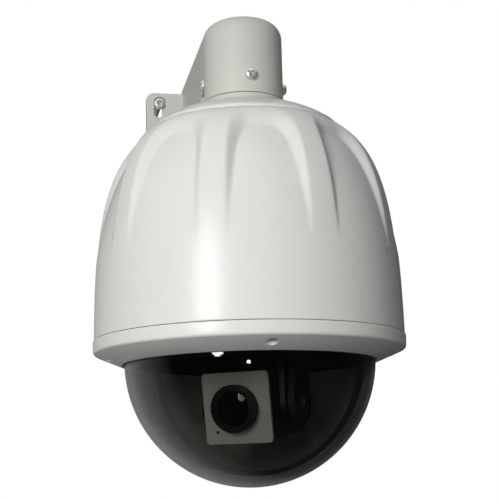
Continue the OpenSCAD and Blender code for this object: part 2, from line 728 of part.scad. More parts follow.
module case_side() polygon([
    [-case_front + plate_thick, -case_h / 2], [case_back - chamfer, -case_h / 2],
    [case_back - cover_t, -case_h / 2 + chamfer - cover_t], [case_back - cover_t, case_h / 2],
    [-case_front + plate_thick, case_h / 2]
]);

// Places of the rear cover's screws, pointing forward into the case's corner posts
module cover_screw_places()
    for (x = [-1, 1], z = [-0.5, 1]) translate([x * (case_w / 2 - skin - 2), case_back, z * (case_h / 2 - skin - 2)])
        rotate([90, 0, 0]) children();

module camera_case() color("dimgray") at_tilt() difference() {
    union() {
        difference() {
            translate([-case_w / 2, 0, 0]) rotate([90, 0, 90]) linear_extrude(case_w) case_side();
            translate([-case_w / 2 + skin, 0, 0]) rotate([90, 0, 90]) linear_extrude(case_w - 2 * skin)
                case_cavity();
        }
        cover_screw_places() translate([0, 0, cover_t]) cylinder(r = 2.6, h = 9, $fn = 24);
    }
    cover_screw_places() translate([0, 0, 1]) cylinder(r = 1 + screw_gap, h = 8, $fn = 24);
}

module case_cavity() polygon([
    [-case_front, -case_h / 2 + skin], [case_back - chamfer - 1, -case_h / 2 + skin],
    [case_back, -case_h / 2 + chamfer + skin - 1], [case_back, case_h / 2 - skin], [-case_front, case_h / 2 - skin]
]);

module front_plate() color("lightgray") at_tilt() difference() {
    translate([0, -case_front + plate_thick, 0]) rotate([90, 0, 0])
        linear_extrude(plate_thick) rounded_rect(case_w + 2, case_h + 2, 3);
    rotate([90, 0, 0]) cylinder(r = lens_r + 0.05, h = through, $fn = 64);
    translate([-case_w * 0.33, 0, -case_h * 0.35]) rotate([90, 0, 0]) cylinder(r = 1.2, h = through, $fn = 24);
}

module rear_cover() color("dimgray") at_tilt() difference() {
    translate([-case_w / 2, case_back - cover_t, -case_h / 2 + chamfer - cover_t])
        cube([case_w, cover_t, case_h - chamfer + cover_t]);
    cover_screw_places() translate([0, 0, -1]) cylinder(r = 1 + screw_gap, h = 4, $fn = 24);
}

module camera_screws() color("silver") at_tilt() cover_screw_places() pan_screw(1, 7, 2, 1.4);

module trunnion_shafts() color("silver") at_tilt() {
    rotate([0, 90, 0]) translate([0, 0, case_w / 2]) cylinder(r = trunnion_r, h = belt_x + belt_w - case_w / 2, $fn = 48);
    rotate([0, -90, 0]) translate([0, 0, case_w / 2]) cylinder(r = trunnion_r, h = yoke_out + 1 - case_w / 2, $fn = 48);
}

module tilt_pulley() color("gainsboro") at_tilt() translate([belt_x, 0, 0]) rotate([0, 90, 0])
    ring(tilt_pulley_r, trunnion_r, belt_w);

module lens_barrel() color([0.1, 0.1, 0.1]) at_tilt() translate([0, -case_front - lens_out + 1.5, 0])
    rotate([-90, 0, 0]) ring(lens_r, lens_r - barrel_wall, lens_out + barrel_back);

module lens_bezel() color([0.1, 0.1, 0.1]) at_tilt() translate([0, -case_front - lens_out, 0])
    rotate([-90, 0, 0]) ring(lens_r + 0.4, lens_r - 4, 1.5);

module front_lens() color("midnightblue") at_tilt() translate([0, -case_front - lens_out + 1.5, 0])
    rotate([-90, 0, 0]) cylinder(r = lens_r - barrel_wall, h = glass_t, $fn = 64);

module sensor_board() color("darkgreen") at_tilt()
    translate([-case_w / 2 + skin, -case_front + barrel_back + 1.5, -18]) cube([case_w - 2 * skin, 1.6, 36]);

module lens_group(at, r, h) color("slategray") at_tilt() translate([0, -case_front + at, 0])
    rotate([-90, 0, 0]) cylinder(r = r, h = h, $fn = 48);

module zoom_group() lens_group(-2, lens_r - barrel_wall - 0.3, 5);
module focus_group() lens_group(15, lens_r - barrel_wall - 0.3, 4);

wall_bracket();
wall_bolts();
collar_screws();
neck_spigot();
neck_seal();
neck_screws();
cable_gland();
crown_cap();
cap_screws();
upper_housing();
ring_gasket();
trim_ring();
ring_screws();
dome_bubble();
bubble_retainer();
retainer_screws();
base_plate();
base_screws();
pan_bearing();
pan_motor();
pan_belt();
slip_ring();
power_board();
board_standoffs();
terminal_block();
board_parts();
heater_block();
fan_frame();
fan_rotor();
pan_motor_pulley();
pan_shaft();
pan_pulley();
pan_platter();
shield_ring();
liner();
yoke_left();
yoke_right();
yoke_screws();
tilt_bearings();
tilt_motor_bracket();
tilt_motor();
tilt_belt();
driver_board();
tilt_motor_pulley();
camera_case();
front_plate();
rear_cover();
camera_screws();
trunnion_shafts();
tilt_pulley();
lens_barrel();
lens_bezel();
front_lens();
sensor_board();
zoom_group();
focus_group();
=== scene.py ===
"""Looks of an outdoor pan-tilt-zoom dome camera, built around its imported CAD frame.

Lengths are metres in the frame's own axes. Heights named *_Z are millimetres above the dome's centre.
"""

import json
import math

import bmesh
import bpy
from mathutils import Matrix, Vector


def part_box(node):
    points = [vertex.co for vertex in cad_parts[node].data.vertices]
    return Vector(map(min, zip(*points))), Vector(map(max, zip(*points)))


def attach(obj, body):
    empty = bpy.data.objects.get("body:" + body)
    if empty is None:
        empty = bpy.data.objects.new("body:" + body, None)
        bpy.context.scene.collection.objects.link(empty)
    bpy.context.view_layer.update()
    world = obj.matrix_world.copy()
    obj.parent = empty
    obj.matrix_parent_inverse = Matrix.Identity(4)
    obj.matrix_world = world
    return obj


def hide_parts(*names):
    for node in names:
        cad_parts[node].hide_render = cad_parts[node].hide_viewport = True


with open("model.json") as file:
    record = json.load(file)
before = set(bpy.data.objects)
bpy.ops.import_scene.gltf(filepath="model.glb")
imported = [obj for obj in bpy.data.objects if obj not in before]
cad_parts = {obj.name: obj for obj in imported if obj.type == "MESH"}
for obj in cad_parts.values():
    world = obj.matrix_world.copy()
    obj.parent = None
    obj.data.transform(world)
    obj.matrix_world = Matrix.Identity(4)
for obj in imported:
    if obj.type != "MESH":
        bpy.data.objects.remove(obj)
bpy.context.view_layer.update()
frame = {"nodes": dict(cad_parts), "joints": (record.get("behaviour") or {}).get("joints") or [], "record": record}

MM = 0.001


def joint(name):
    return next(j for j in frame["joints"] if j["name"] == name)


# Driving places, all taken from the frame ------------------------------------------------------

DOME_CENTRE = Vector(joint("pan")["pos_m"])
TILT_CENTRE = Vector(joint("tilt")["pos_m"])
TILT_AXIS = Vector(joint("tilt")["axis"])
OPTICAL_BACK = Vector(joint("zoom")["axis"])
PAN_TURN = math.atan2(TILT_AXIS.y, TILT_AXIS.x)
TILT_TURN = math.asin(OPTICAL_BACK.z)
HOUSING_TURN = math.radians(-3)


def size_of(node):
    low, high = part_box(node)
    return Vector(high) - Vector(low)


RING_R = size_of("trim_ring").x / 2 / MM
DOME_R = (DOME_CENTRE.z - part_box("dome_bubble")[0][2]) / MM
COLLAR_R = -(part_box("wall_bracket")[0][1] - DOME_CENTRE.y) / MM
COLLAR_LOW = (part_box("neck_spigot")[0][2] - DOME_CENTRE.z) / MM + 4.8
ARM_TOP = (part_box("wall_bracket")[1][2] - DOME_CENTRE.z) / MM

AT_HOUSING = Matrix.Translation(DOME_CENTRE) @ Matrix.Rotation(HOUSING_TURN, 4, "Z")
AT_BRACKET = Matrix.Translation(DOME_CENTRE)
AT_PAN = Matrix.Translation(DOME_CENTRE) @ Matrix.Rotation(PAN_TURN, 4, "Z")
AT_CAMERA = (
    Matrix.Translation(TILT_CENTRE)
    @ Matrix.Rotation(PAN_TURN, 4, "Z")
    @ Matrix.Rotation(TILT_TURN, 4, "X")
)

# Materials -------------------------------------------------------------------------------------


def linear(hex_value):
    """sRGB hex string to a linear RGBA colour."""
    parts = [int(hex_value[i : i + 2], 16) / 255 for i in (0, 2, 4)]
    return tuple(c / 12.92 if c <= 0.04045 else ((c + 0.055) / 1.055) ** 2.4 for c in parts) + (1.0,)


def node(owner, kind, settings=(), links=(), stops=()):
    """Adds a node to a material or world.

    Settings are input or attribute values, links are (input, from_node, output) and stops are a
    colour ramp's (position, colour).
    """
    n = owner.node_tree.nodes.new(kind)
    for key, value in dict(settings).items():
        if isinstance(key, int) or key in n.inputs:
            n.inputs[key].default_value = value
        else:
            setattr(n, key, value)
    for key, source, output in links:
        owner.node_tree.links.new(source.outputs[output], n.inputs[key])
    for i, (position, colour) in enumerate(stops):
        if 0 < i < len(stops) - 1:
            n.color_ramp.elements.new(position).color = colour
        else:
            end = n.color_ramp.elements[0 if i == 0 else -1]
            end.position, end.color = position, colour
    return n


def new_material(name):
    material = bpy.data.materials.new(name)
    material.use_nodes = True
    material.node_tree.nodes.clear()
    return material


def finish_material(material, shader):
    node(material, "ShaderNodeOutputMaterial", links=[("Surface", shader, 0)])
    return material


def blotches(across_mm, detail=2.0):
    """Settings of a noise whose blotches are about this wide."""
    return {"Scale": 1 / (across_mm * MM), "Detail": detail, "Roughness": 0.5}


def powder_coat(name, light, dark, grain_mm, depth_mm, roughness):
    """Powder-coated cast aluminium: even colour, a soft orange peel and a broad satin highlight."""
    m = new_material(name)
    coords = node(m, "ShaderNodeTexCoord")
    place = [("Vector", coords, "Object")]
    cloud = node(m, "ShaderNodeTexNoise", blotches(60, 3), place)
    stops = [(0.2, linear(dark)), (0.8, linear(light))]
    colour = node(m, "ShaderNodeValToRGB", links=[("Fac", cloud, "Fac")], stops=stops)
    peel = node(m, "ShaderNodeTexNoise", blotches(grain_mm, 3), place)
    bump = node(m, "ShaderNodeBump", {"Strength": 1.0, "Distance": depth_mm * MM}, [("Height", peel, "Fac")])
    sheen = node(
        m,
        "ShaderNodeMapRange",
        {"To Min": roughness - 0.03, "To Max": roughness + 0.05},
        [("Value", cloud, "Fac")],
    )
    shader = node(
        m,
        "ShaderNodeBsdfPrincipled",
        {"IOR": 1.5, "Specular IOR Level": 0.3},
        [("Base Color", colour, "Color"), ("Roughness", sheen, "Result"), ("Normal", bump, "Normal")],
    )
    return finish_material(m, shader)


def plated_steel(name, light, dark, roughness, metallic=1.0):
    """Bright zinc or nickel plate on steel: fine drawn marks and small dull patches."""
    m = new_material(name)
    coords = node(m, "ShaderNodeTexCoord")
    place = [("Vector", coords, "Object")]
    patch = node(m, "ShaderNodeTexNoise", blotches(2.5, 4), place)
    stops = [(0.3, linear(dark)), (0.6, linear(light))]
    colour = node(m, "ShaderNodeValToRGB", links=[("Fac", patch, "Fac")], stops=stops)
    dull = node(
        m,
        "ShaderNodeMapRange",
        {"To Min": roughness, "To Max": roughness + 0.15},
        [("Value", patch, "Fac")],
    )
    grain = node(m, "ShaderNodeTexNoise", blotches(0.4, 2), place)
    bump = node(m, "ShaderNodeBump", {"Strength": 0.5, "Distance": 0.01 * MM}, [("Height", grain, "Fac")])
    shader = node(
        m,
        "ShaderNodeBsdfPrincipled",
        {"Metallic": metallic},
        [("Base Color", colour, "Color"), ("Roughness", dull, "Result"), ("Normal", bump, "Normal")],
    )
    return finish_material(m, shader)


def moulded_plastic(name, light, dark, grain_mm, depth_mm, roughness, coat=0.0):
    """Moulded plastic or rubber with a fine spark-eroded texture."""
    m = new_material(name)
    coords = node(m, "ShaderNodeTexCoord")
    place = [("Vector", coords, "Object")]
    cloud = node(m, "ShaderNodeTexNoise", blotches(18, 3), place)
    stops = [(0.3, linear(dark)), (0.7, linear(light))]
    colour = node(m, "ShaderNodeValToRGB", links=[("Fac", cloud, "Fac")], stops=stops)
    texture = node(m, "ShaderNodeTexNoise", blotches(grain_mm, 2), place)
    bump = node(
        m, "ShaderNodeBump", {"Strength": 0.8, "Distance": depth_mm * MM}, [("Height", texture, "Fac")]
    )
    rough = node(
        m,
        "ShaderNodeMapRange",
        {"To Min": roughness - 0.04, "To Max": roughness + 0.06},
        [("Value", cloud, "Fac")],
    )
    shader = node(
        m,
        "ShaderNodeBsdfPrincipled",
        {"IOR": 1.5, "Coat Weight": coat},
        [("Base Color", colour, "Color"), ("Roughness", rough, "Result"), ("Normal", bump, "Normal")],
    )
    return finish_material(m, shader)


ACRYLIC_IOR = 1.49


def smoked_acrylic(name, tint, haze_tint):
    """Polished smoked acrylic: each skin lets part of the light through and mirrors the room at its edge."""
    m = new_material(name)
    coords = node(m, "ShaderNodeTexCoord")
    place = [("Vector", coords, "Object")]
    haze = node(m, "ShaderNodeTexNoise", blotches(40, 2), place)
    stops = [(0.3, linear(tint)), (0.7, linear(haze_tint))]
    colour = node(m, "ShaderNodeValToRGB", links=[("Fac", haze, "Fac")], stops=stops)
    through = node(m, "ShaderNodeBsdfTransparent", links=[("Color", colour, "Color")])
    mirror = node(m, "ShaderNodeBsdfGlossy", {"Color": (1, 1, 1, 1), "Roughness": 0.02})
    face = node(m, "ShaderNodeNewGeometry")
    bend = node(
        m,
        "ShaderNodeMapRange",
        {"To Min": ACRYLIC_IOR, "To Max": 1 / ACRYLIC_IOR},
        [("Value", face, "Backfacing")],
    )
    edge = node(m, "ShaderNodeFresnel", links=[("IOR", bend, "Result")])
    shader = node(m, "ShaderNodeMixShader", links=[(0, edge, 0), (1, through, 0), (2, mirror, 0)])
    return finish_material(m, shader)


def coated_glass(name, tint, roughness=0.02):
    """Multi-coated lens glass: nearly black, with a painted reflection: the base colour turns blue to violet
    towards grazing angles, standing in for the coating's bloom at the edge.
    """
    m = new_material(name)
    # Painted reflection: this ramp by facing angle paints the coating's blue to violet bloom.
    facing = node(m, "ShaderNodeLayerWeight", {"Blend": 0.35})
    stops = [(0.0, linear("05060a")), (0.75, linear(tint)), (1.0, linear("3a2f55"))]
    colour = node(m, "ShaderNodeValToRGB", links=[("Fac", facing, "Facing")], stops=stops)
    shader = node(
        m,
        "ShaderNodeBsdfPrincipled",
        {
            "IOR": 1.6,
            "Roughness": roughness,
            "Specular IOR Level": 0.15,
            "Coat Weight": 0.15,
            "Coat Roughness": 0.02,
        },
        [("Base Color", colour, "Color")],
    )
    return finish_material(m, shader)


def circuit_board(name):
    """Green solder mask over copper tracks, drawn on a 5.2 mm grid so that they show."""
    m = new_material(name)
    coords = node(m, "ShaderNodeTexCoord")
    place = [("Vector", coords, "Object")]
    tracks = node(
        m,
        "ShaderNodeTexBrick",
        {"Scale": 1 / (5.2 * MM), "Mortar Size": 0.03, "Color1": (0, 0, 0, 1), "Color2": (0, 0, 0, 1)},
        place,
    )
    stops = [(0.2, linear("12522b")), (0.8, linear("2c8a4a"))]
    colour = node(m, "ShaderNodeValToRGB", links=[("Fac", tracks, "Color")], stops=stops)
    shader = node(
        m,
        "ShaderNodeBsdfPrincipled",
        {"IOR": 1.5, "Roughness": 0.3, "Coat Weight": 0.4},
        [("Base Color", colour, "Color")],
    )
    return finish_material(m, shader)


# Warm white powder coat: nearly smooth, with one broad soft streak down the bell.
HOUSING_PAINT = powder_coat("housing_powder_coat", "e6e6e2", "e2e2dd", 1.6, 0.02, 0.27)
# A greyer, grainier coat on the bracket casting, which hardly shines.
BRACKET_PAINT = powder_coat("bracket_powder_coat", "d0d0ca", "cac9c2", 0.9, 0.05, 0.48)
# Zinc plate: pale, with crisp dark and bright patches round the recesses.
SCREW_STEEL = plated_steel("plated_screw_steel", "e4e5e3", "cccecc", 0.3, 0.7)
# Dull grey folded sheet.
SHEET_STEEL = plated_steel("zinc_sheet_steel", "a9adb0", "868a8d", 0.32)
# Ground rings and shafts, the brightest metal inside.
BEARING_STEEL = plated_steel("ground_bearing_steel", "c4c6c8", "9fa2a5", 0.2)
# Pale satin fins.
ALUMINIUM = plated_steel("extruded_aluminium", "c6c7c9", "aeb0b3", 0.35)
# Yellow turned metal with a clean gleam.
BRASS = plated_steel("turned_brass", "c9a04e", "a07c38", 0.25)
# Dead black, with hardly any highlight.
SEAL_RUBBER = moulded_plastic("seal_rubber", "2a2a2a", "1d1d1d", 0.7, 0.03, 0.75)
BELT_RUBBER = moulded_plastic("belt_rubber", "1c1c1c", "141414", 0.5, 0.03, 0.7)
# Matt black moulding whose edges still catch light.
BLACK_PLASTIC = moulded_plastic("black_moulded_abs", "161616", "101010", 0.6, 0.03, 0.5)
# Olive-grey moulding, a soft even tone seen through the dome.
LINER_PLASTIC = moulded_plastic("liner_moulded_abs", "8b8c7f", "7c7d71", 0.8, 0.03, 0.55)
# Dead black matt moulding, a little darker than the other black plastic: partly the parts' own black, partly
# painted shade that keeps the band under the ring's lip and the dome's inside dark where the low front fill would
# light it.
SHIELD_BLACK_PAINTED_SHADE = moulded_plastic("shield_black_painted_shade", "0e0e0e", "080808", 0.6, 0.03, 0.8)
# Black sheet with a faint metallic smoothness.
CHASSIS_BLACK = moulded_plastic("black_anodised_sheet", "1a1a1b", "131314", 0.5, 0.02, 0.45)
# Slightly glossy motor cans.
MOTOR_ENAMEL = moulded_plastic("black_motor_enamel", "1d1e20", "151618", 1.2, 0.03, 0.35)
# Milky off-white gears and pulleys.
PULLEY_ACETAL = moulded_plastic("acetal_pulley", "c8c7c0", "b9b8b0", 0.8, 0.02, 0.42)
# Dark grey camera body.
CASE_PLASTIC = moulded_plastic("camera_case_abs", "3a3938", "302f2e", 0.7, 0.03, 0.5)
# Putty-coloured plate that frames the lens.
FRONT_PLATE_PAINT = moulded_plastic("front_plate_satin", "c9c8bd", "bebdb2", 0.7, 0.02, 0.45)
# Satin black rings that show as thin arcs of light.
LENS_ENAMEL = moulded_plastic("lens_barrel_enamel", "0e0e0e", "0a0a0a", 0.5, 0.02, 0.4)
# Bright green connector bodies.
TERMINAL_PLASTIC = moulded_plastic("terminal_polyamide", "1f7a3c", "196431", 0.8, 0.02, 0.4)
# Black chip and coil bodies.
PART_RESIN = moulded_plastic("component_resin", "202022", "18181a", 0.8, 0.02, 0.4)
# Grey see-through bubble with a bright rim on the left.
DOME_ACRYLIC = smoked_acrylic("smoked_acrylic", "d5d6d6", "d9d9d8")
# A near-black disc whose faint blue edge is a painted reflection of the coating.
LENS_GLASS = coated_glass("coated_lens_glass", "10131f")
# Dark green boards ruled with lighter tracks.
BOARD = circuit_board("solder_mask")

# Mesh helpers ----------------------------------------------------------------------------------


def to_object(bm, name, material, place=Matrix.Identity(4), smooth=True):
    """Closes the seams of a bmesh, points its faces out and makes it an object at its place."""
    bmesh.ops.remove_doubles(bm, verts=bm.verts, dist=0.002 * MM)
    bmesh.ops.recalc_face_normals(bm, faces=bm.faces)
    bmesh.ops.transform(bm, matrix=place, verts=bm.verts)
    mesh = bpy.data.meshes.new(name)
    bm.to_mesh(mesh)
    bm.free()
    for face in mesh.polygons:
        face.use_smooth = smooth
    obj = bpy.data.objects.new(name, mesh)
    bpy.context.scene.collection.objects.link(obj)
    mesh.materials.append(material)
    return obj


def sharpen(obj, degrees=35):
    """Keeps the edges that are sharper than this angle crisp."""
    limit = math.radians(degrees)
    bm = bmesh.new()
    bm.from_mesh(obj.data)
    for edge in bm.edges:
        edge.smooth = not (edge.is_manifold and edge.calc_face_angle(0) > limit)
    bm.to_mesh(obj.data)
    bm.free()
    return obj


def spin_outline(bm, outline, steps):
    """Turns a closed outline of (radius, height) millimetres once round Z."""
    verts = [bm.verts.new((r * MM, 0, z * MM)) for r, z in outline]
    edges = [bm.edges.new((a, b)) for a, b in zip(verts, verts[1:] + verts[:1])]
    bmesh.ops.spin(
        bm,
        geom=verts + edges,
        cent=(0, 0, 0),
        axis=(0, 0, 1),
        angle=math.tau,
        steps=steps,
        use_merge=True,
        use_duplicate=False,
    )


def turned(name, outline, material, place, steps=160, crisp=35):
    """A turned piece from a closed outline of (radius, height) millimetres."""
    bm = bmesh.new()
    spin_outline(bm, outline, steps)
    return sharpen(to_object(bm, name, material, place), crisp)


def arc(centre, radius, start, end, count):
    """Points along an arc in the (radius, height) plane, angles in degrees."""
    return [
        (
            centre[0] + radius * math.cos(math.radians(start + (end - start) * i / count)),
            centre[1] + radius * math.sin(math.radians(start + (end - start) * i / count)),
        )
        for i in range(count + 1)
    ]


def body_with(node_name):
    """Name of the body that a CAD node rides on."""
    bodies = frame["record"]["behaviour"]["bodies"]
    return next(body for body, names in bodies.items() if node_name in names)


def own(piece, body, *replaced, slot=None):
    """Makes a piece ride on a body and stand for CAD nodes."""
    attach(piece, body)
    if replaced:
        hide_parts(*replaced)
    return piece


def combine(obj, other, place, operation="DIFFERENCE"):
    """Cuts another bmesh out of an object, or joins it on, and applies the result."""
    tool = to_object(other, "tool", BLACK_PLASTIC, place)
    cut = obj.modifiers.new("combine", "BOOLEAN")
    cut.operation = operation
    cut.solver = "EXACT"
    cut.use_self = True
    cut.object = tool
    apply_modifiers(obj)
    bpy.data.objects.remove(tool)
    return sharpen(obj, 35)


def apply_modifiers(obj):
    graph = bpy.context.evaluated_depsgraph_get()
    done = bpy.data.meshes.new_from_object(obj.evaluated_get(graph))
    obj.modifiers.clear()
    obj.data = done


def flatten_normals(obj):
    """Keeps flat faces flat beside their rounded edges."""
    obj.modifiers.new("flat_faces", "WEIGHTED_NORMAL").keep_sharp = True
    apply_modifiers(obj)
    return obj


def round_edges(bm, width_mm, least=40, segments=2, chosen=None):
    """Bevels the edges that turn by more than this angle."""
    limit = math.radians(least)
    edges = [
        e for e in bm.edges if e.is_manifold and e.calc_face_angle(0) > limit and (not chosen or chosen(e))
    ]
    bmesh.ops.bevel(
        bm,
        geom=edges,
        offset=width_mm * MM,
        offset_type="OFFSET",
        segments=segments,
        profile=0.5,
        affect="EDGES",
        clamp_overlap=True,
        material=-1,
    )


def softened(name, width_mm, material, slot):
    """A sheet or moulded piece with the CAD node's shape and its edges broken by a small round."""
    bm = bmesh.new()
    bm.from_mesh(frame["nodes"][name].data)
    bmesh.ops.remove_doubles(bm, verts=bm.verts, dist=0.002 * MM)
    bmesh.ops.dissolve_limit(bm, angle_limit=math.radians(1), verts=bm.verts, edges=bm.edges)
    round_edges(bm, width_mm)
    piece = sharpen(to_object(bm, name + "_softened", material), 50)
    return own(flatten_normals(piece), body_with(name), name, slot=slot)


# Wall bracket ----------------------------------------------------------------------------------

WALL_Y = -DOME_CENTRE.y / MM
PLATE_W = size_of("wall_bracket").x / MM
PLATE_H = -2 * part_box("wall_bracket")[0][2] / MM
PLATE_T = 8
PLATE_CORNER = 6
CROWN_FILLET = 12
ARM_LEVEL = 64
GUSSET_DROP = 41
SLOT_X = PLATE_W / 2 - 11
SLOT_Z = PLATE_H / 2 - 13
SLOT_W = 10
SLOT_LEN = 19
SLOT_DEPTH = 4
THROUGH_W = 5.5
THROUGH_LEN = 14.5
CABLE_W = 30
CABLE_H = 36
CABLE_LEN = 92
CABLE_Z = 26  # middle of the cable pocket above the plate's centre
RELIEF_W = 14
RELIEF_H = 9.5
RELIEF_BACK = 8.5  # relief notches start just behind the side screws
SCREW_UP = 12.6  # collar screws above the collar's lower edge
SCREW_UPRIGHT = Matrix.Rotation(-math.pi / 2, 4, "X")


def shift(x, y, z):
    return Matrix.Translation((x * MM, y * MM, z * MM))


def add_block(bm, x, y, z, place=Matrix.Identity(4)):
    """Adds a box of these sides in millimetres, centred on its place."""
    bmesh.ops.create_cube(bm, size=1, matrix=place @ Matrix.Diagonal((x * MM, y * MM, z * MM, 1)))


def add_cone(bm, low_r, high_r, depth, segments, place=Matrix.Identity(4)):
    """Adds a capped cone or cylinder of these millimetres, centred on its place."""
    return bmesh.ops.create_cone(
        bm,
        cap_ends=True,
        segments=segments,
        radius1=low_r * MM,
        radius2=high_r * MM,
        depth=depth * MM,
        matrix=place,
    )["verts"]


def add_oblong(bm, width, length, depth, place):
    """Adds an upright oblong bar that runs along Y."""
    made = add_cone(bm, width / 2, width / 2, depth, 32)
    for v in made:
        v.co.y += math.copysign((length - width) / 2 * MM, v.co.y)
    bmesh.ops.transform(bm, matrix=place @ SCREW_UPRIGHT, verts=made)


def close_flat(bm, reach_test):
    """Fills the flat opening whose open edges all pass a test on their corners."""
    rim = [e for e in bm.edges if len(e.link_faces) < 2 and all(reach_test(v.co / MM) for v in e.verts)]
    bmesh.ops.contextual_create(bm, geom=rim)


def make_bracket():
    """Collar and arm as one smooth casting, joined to a wall plate with counterbored slots."""
    half = [(0, ARM_TOP)]
    half += arc((COLLAR_R - CROWN_FILLET, ARM_TOP - CROWN_FILLET), CROWN_FILLET, 90, 0, 12)
    half += [(COLLAR_R, COLLAR_LOW)]
    bm = bmesh.new()
    verts = [bm.verts.new((r * MM, 0, z * MM)) for r, z in half]
    edges = [bm.edges.new(pair) for pair in zip(verts, verts[1:])]
    bmesh.ops.spin(
        bm,
        geom=verts + edges,
        cent=(0, 0, 0),
        axis=(0, 0, 1),
        angle=-math.pi,
        steps=72,
        use_duplicate=False,
    )
    across = [(-x, z) for x, z in reversed(half)] + half[1:]
    row = [bm.verts.new((x * MM, 0, z * MM)) for x, z in across]
    edges = [bm.edges.new(pair) for pair in zip(row, row[1:])]
    for y, drop in ((ARM_LEVEL, 0), (WALL_Y, GUSSET_DROP)):
        grown = bmesh.ops.extrude_edge_only(bm, edges=edges)["geom"]
        edges = [g for g in grown if isinstance(g, bmesh.types.BMEdge)]
        feet = []
        for v in (g for g in grown if isinstance(g, bmesh.types.BMVert)):
            v.co.y = y * MM
            if v.co.z < (COLLAR_LOW + 1) * MM:
                v.co.z = (COLLAR_LOW - drop) * MM
                feet.append(v)
        bm.edges.new(feet)
    bmesh.ops.remove_doubles(bm, verts=bm.verts, dist=0.01 * MM)
    close_flat(bm, lambda p: abs(p.z - COLLAR_LOW) < 0.1 and p.y < ARM_LEVEL + 0.1)
    close_flat(bm, lambda p: p.z < COLLAR_LOW + 0.1 and p.y > ARM_LEVEL - 0.1)
    close_flat(bm, lambda p: p.y > WALL_Y - 0.1)
    bmesh.ops.recalc_face_normals(bm, faces=bm.faces)
    round_edges(bm, 0.9, 50, 3)
    bracket = to_object(bm, "bracket_casting", BRACKET_PAINT, AT_BRACKET)

    plate = bmesh.new()
    add_block(plate, PLATE_W, PLATE_T, PLATE_H, shift(0, -PLATE_T / 2, 0))
    thickness = 0.9 * PLATE_T * MM
    round_edges(plate, PLATE_CORNER, 40, 8, lambda e: abs((e.verts[0].co - e.verts[1].co).y) > thickness)
    round_edges(plate, 1.0, 60, 3)
    combine(bracket, plate, Matrix.Identity(4), "UNION")

    cuts = bmesh.new()
    for x in (-SLOT_X, SLOT_X):
        for z in (-SLOT_Z, SLOT_Z):
            add_oblong(cuts, SLOT_W, SLOT_LEN, 2 * SLOT_DEPTH, shift(x, -PLATE_T, z))
    combine(bracket, cuts, Matrix.Identity(4))
    cuts = bmesh.new()
    for x in (-SLOT_X, SLOT_X):
        for z in (-SLOT_Z, SLOT_Z):
            add_oblong(cuts, THROUGH_W, THROUGH_LEN, 3 * PLATE_T, shift(x, 0, z))
    add_block(cuts, CABLE_W, CABLE_LEN, CABLE_H, shift(0, 1 - CABLE_LEN / 2, CABLE_Z))
    for side in (-1, 1):
        notch = AT_BRACKET @ shift(side * COLLAR_R, RELIEF_BACK, COLLAR_LOW)
        add_block(cuts, RELIEF_W, RELIEF_W, 2 * RELIEF_H, notch)
    combine(bracket, cuts, Matrix.Identity(4))
    return own(flatten_normals(bracket), "root", "wall_bracket", slot="bracket_paint")


# Screws and bolts ------------------------------------------------------------------------------

COLLAR_DRIVE_TURNS = {-1: 18, 0: 38, 1: 58}  # how each cross recess happened to stop, in degrees


def screw_places():
    """Places of the heads' undersides for collar, ring and wall; the shank runs up the place's own Z."""
    collar = [
        AT_BRACKET
        @ Matrix.Rotation(side * math.pi / 2, 4, "Z")
        @ shift(0, -COLLAR_R, COLLAR_LOW + SCREW_UP)
        @ SCREW_UPRIGHT
        @ Matrix.Rotation(math.radians(turn), 4, "Z")
        for side, turn in COLLAR_DRIVE_TURNS.items()
    ]
    ring = [
        AT_HOUSING @ Matrix.Rotation(i * math.tau / 4, 4, "Z") @ shift(0, -RING_SCREW_AT, RING_SCREW_Z)
        for i in range(4)
    ]
    rise = (THROUGH_LEN - THROUGH_W) / 2
    wall = [
        shift(x, SLOT_DEPTH - PLATE_T, z + rise) @ SCREW_UPRIGHT
        for x in (-SLOT_X, SLOT_X)
        for z in (-SLOT_Z, SLOT_Z)
    ]
    return collar, ring, wall


def thread(radius, start, end, pitch=0.8, depth=0.35):
    """Outline of a screw thread, drawn as rings at twice the real pitch so that they show."""
    turns = int((end - start) / (2 * pitch))
    outline = []
    for i in range(turns):
        z = start + i * (end - start) / turns
        outline += [(radius - depth, z), (radius, z + pitch * 0.7), (radius, z + pitch * 1.1)]
    return outline


def make_screws(name, node_name, places, outline, recess):
    """One object of equal screws, each with its drive recess cut into the head."""
    bm = bmesh.new()
    cuts = bmesh.new()
    for place in places:
        one = bmesh.new()
        spin_outline(one, outline, 48)
        bmesh.ops.remove_doubles(one, verts=one.verts, dist=0.002 * MM)
        bmesh.ops.transform(one, matrix=place, verts=one.verts)
        mesh = bpy.data.meshes.new("one_screw")
        one.to_mesh(mesh)
        one.free()
        bm.from_mesh(mesh)
        bpy.data.meshes.remove(mesh)
        recess(cuts, place)
    screws = sharpen(to_object(bm, name, SCREW_STEEL), 40)
    combine(screws, cuts, Matrix.Identity(4))
    return own(screws, "root", node_name, slot="zinc_steel")


def cross_recess(span, depth, head_top):
    """Two crossed blades with a tapered middle."""

    def cut(bm, place):
        for angle in (0, math.pi / 2):
            blade = place @ Matrix.Rotation(angle, 4, "Z") @ shift(0, 0, head_top)
            add_block(bm, span, span * 0.27, 2 * depth, blade)
        wide = place @ shift(0, 0, head_top + depth * 0.4)
        add_cone(bm, span * 0.27, span * 0.12, 2 * depth, 24, wide)

    return cut


def hex_recess(across, depth, head_top):
    """Hexagon socket of this size across its flats."""

    def cut(bm, place):
        r = across / 2 / math.cos(math.pi / 6)
        add_cone(bm, r, r, 2 * depth, 6, place @ shift(0, 0, head_top))

    return cut


def pan_head(radius, height, shank_r, shank_len):
    """Outline of a pan-head screw whose underside is at 0 and whose head bulges down."""
    outline = [(0, -height), (radius * 0.45, -height * 0.97), (radius * 0.72, -height * 0.85)]
    outline += arc((radius - height * 0.42, -height * 0.38), height * 0.42, -60, 0, 5)
    outline += [(radius, 0), (shank_r, 0), (shank_r, shank_len), (0, shank_len)]
    return outline


